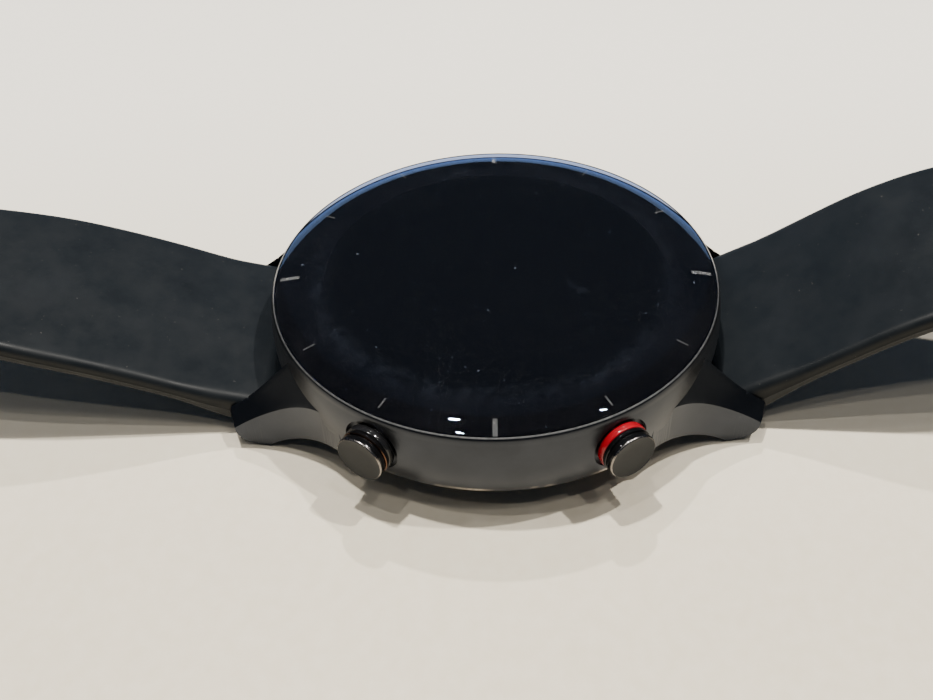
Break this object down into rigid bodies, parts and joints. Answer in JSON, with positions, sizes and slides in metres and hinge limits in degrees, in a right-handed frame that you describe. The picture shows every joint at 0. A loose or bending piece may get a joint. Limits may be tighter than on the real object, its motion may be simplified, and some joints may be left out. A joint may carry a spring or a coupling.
{
  "type": "smartwatch",
  "caption": "Round sports smartwatch lying on its back, metal case with lugs, domed black glass, side push buttons and an unfastened rubber strap with a pin buckle.",
  "frame": {"origin": "centre of the flat sensor face on the back, which lies on the table", "axes": "+Z out through the glass, +Y towards 12 o'clock and the buckle, +X towards 3 o'clock and the buttons"},
  "size_m": [0.0464, 0.2487, 0.0189],
  "materials": {
    "case_metal": "satin",
    "cover_glass": "polished",
    "back_plastic": "matte",
    "sensor_glass": "polished",
    "contact_gold": "polished",
    "seal_rubber": "matte",
    "display": "polished",
    "flex_film": "satin",
    "frame_plastic": "matte",
    "circuit_board": "satin",
    "spring_steel": "satin",
    "battery_wrap": "satin",
    "led_clear": "polished",
    "weight_metal": "satin",
    "button_metal": "polished",
    "accent_red": "polished",
    "accent_black": "polished",
    "strap_rubber": "satin",
    "buckle_steel": "satin"
  },
  "bodies": {
    "case": {"case_body": "case_metal", "back_cover": "back_plastic", "back_gasket": "seal_rubber", "sensor_window": "sensor_glass", "charging_contacts": "contact_gold", "cover_glass": "cover_glass", "glass_gasket": "seal_rubber", "display_panel": "display", "display_flex": "flex_film", "inner_frame": "frame_plastic", "main_board": "circuit_board", "board_screws": "spring_steel", "shield_cans": "spring_steel", "battery": "battery_wrap", "sensor_board": "circuit_board", "sensor_leds": "led_clear", "light_baffle": "frame_plastic", "speaker": "frame_plastic", "speaker_mesh": "spring_steel", "microphone": "contact_gold", "motor_case": "spring_steel", "button_flex": "flex_film", "upper_button_sleeve": "spring_steel", "upper_button_spring": "spring_steel", "upper_button_switch": "spring_steel", "lower_button_sleeve": "spring_steel", "lower_button_spring": "spring_steel", "lower_button_switch": "spring_steel"},
    "motor_rotor": {"motor_weight": "weight_metal"},
    "upper_pusher": {"upper_button": "button_metal", "upper_accent_ring": "accent_red", "upper_button_seals": "seal_rubber", "upper_button_clip": "spring_steel"},
    "lower_pusher": {"lower_button": "button_metal", "lower_accent_ring": "accent_black", "lower_button_seals": "seal_rubber", "lower_button_clip": "spring_steel"},
    "long_strap": {"strap_long": "strap_rubber", "long_strap_bar": "spring_steel", "long_bar_spring": "spring_steel"},
    "long_release": {"long_release_pin": "spring_steel"},
    "short_strap": {"strap_short": "strap_rubber", "short_strap_bar": "spring_steel", "short_bar_spring": "spring_steel", "fixed_keeper": "strap_rubber"},
    "short_release": {"short_release_pin": "spring_steel"},
    "keeper_loop": {"sliding_keeper": "strap_rubber"},
    "buckle": {"buckle_frame": "buckle_steel", "buckle_bar": "spring_steel"},
    "tongue": {"buckle_tongue": "buckle_steel"}
  },
  "joints": [
    {"name": "upper_button_press", "type": "slide", "parent": "case", "child": "upper_pusher", "axis": [-0.866, -0.5, 0], "range_m": [0, 0.0004], "stiffness_N_per_m": 700, "springref_m": -0.0005, "deforming": ["upper_button_spring"]},
    {"name": "lower_button_press", "type": "slide", "parent": "case", "child": "lower_pusher", "axis": [-0.866, 0.5, 0], "range_m": [0, 0.0004], "stiffness_N_per_m": 700, "springref_m": -0.0005, "deforming": ["lower_button_spring"]},
    {"name": "motor_spin", "type": "hinge", "parent": "case", "child": "motor_rotor", "pos_m": [0, -0.0096, 0.0059], "axis": [1, 0, 0], "continuous": true},
    {"name": "long_strap_hinge", "type": "hinge", "parent": "case", "child": "long_strap", "pos_m": [0, -0.0243, 0.00235], "axis": [1, 0, 0], "range_deg": [-22, 80]},
    {"name": "short_strap_hinge", "type": "hinge", "parent": "case", "child": "short_strap", "pos_m": [0, 0.0243, 0.00235], "axis": [-1, 0, 0], "range_deg": [-8, 100]},
    {"name": "long_release_slide", "type": "slide", "parent": "long_strap", "child": "long_release", "axis": [-1, 0, 0], "range_m": [0, 0.0014], "stiffness_N_per_m": 250, "springref_m": -0.0008, "deforming": ["long_bar_spring"]},
    {"name": "short_release_slide", "type": "slide", "parent": "short_strap", "child": "short_release", "axis": [-1, 0, 0], "range_m": [0, 0.0014], "stiffness_N_per_m": 250, "springref_m": -0.0008, "deforming": ["short_bar_spring"]},
    {"name": "keeper_slide", "type": "hinge", "parent": "short_strap", "child": "keeper_loop", "pos_m": [0, 0.0609, -0.03004], "axis": [1, 0, 0], "range_deg": [0, 13.2]},
    {"name": "buckle_hinge", "type": "hinge", "parent": "short_strap", "child": "buckle", "pos_m": [0, 0.09605, 0.00216], "axis": [1, 0, 0], "range_deg": [-75, 30]},
    {"name": "tongue_hinge", "type": "hinge", "parent": "buckle", "child": "tongue", "pos_m": [0, 0.09605, 0.00216], "axis": [1, 0, 0], "range_deg": [0, 60]}
  ]
}
